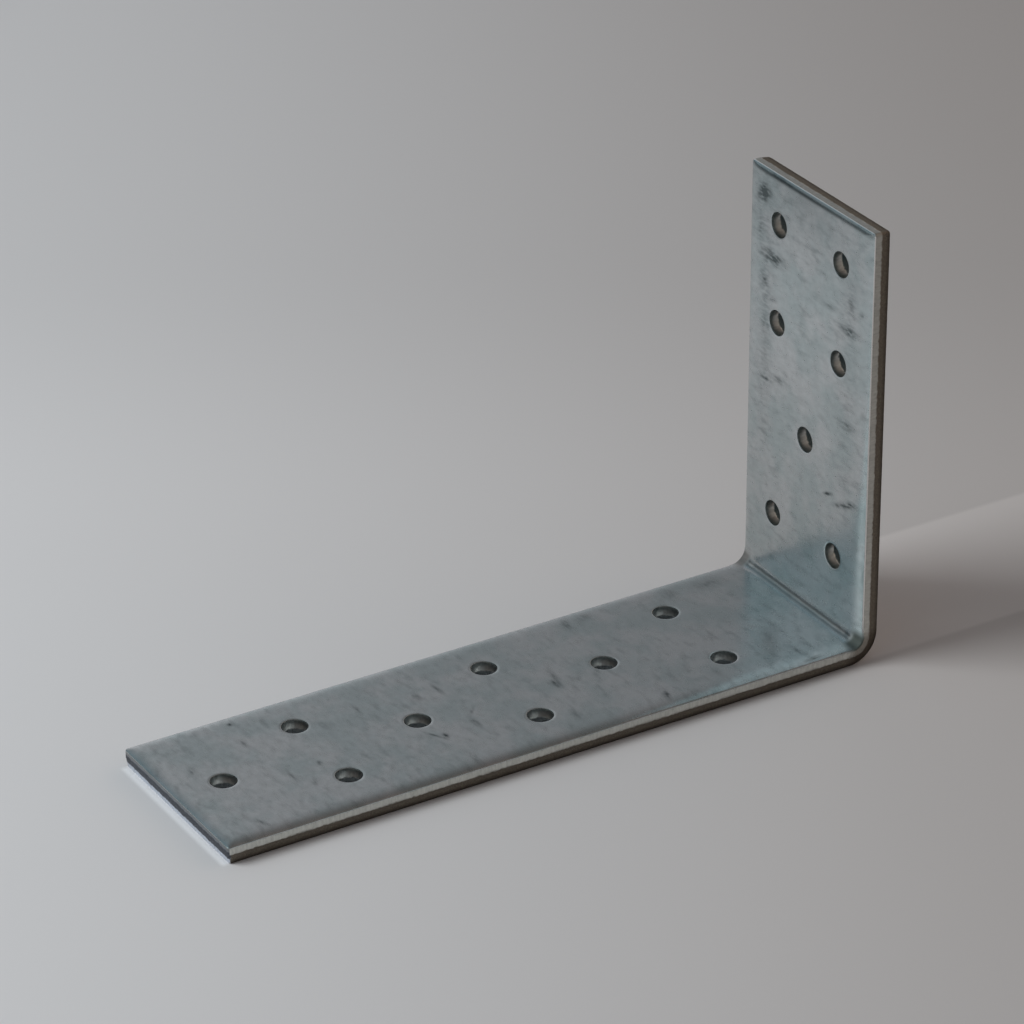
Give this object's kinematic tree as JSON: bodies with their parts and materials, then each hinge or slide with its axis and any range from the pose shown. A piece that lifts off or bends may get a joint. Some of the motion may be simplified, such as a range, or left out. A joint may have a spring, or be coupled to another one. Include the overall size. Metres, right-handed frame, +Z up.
{
  "type": "corner brace bracket",
  "caption": "Right-angled corner brace folded from one flat strip of zinc-plated steel, with staggered nail holes through both legs.",
  "frame": {"origin": "on the underside of the long leg, at the middle of the strip's width and of the long leg's length", "axes": "+Y along the long leg from its free end towards the fold, +Z up along the upright, X across the strip"},
  "size_m": [0.0402, 0.1378, 0.0883],
  "materials": {
    "zinc_steel": "satin bluish zinc plating, with darker torn bands along the sheared edges and in the holes"
  },
  "bodies": {
    "root": {"bracket": "zinc_steel"}
  },
  "joints": []
}
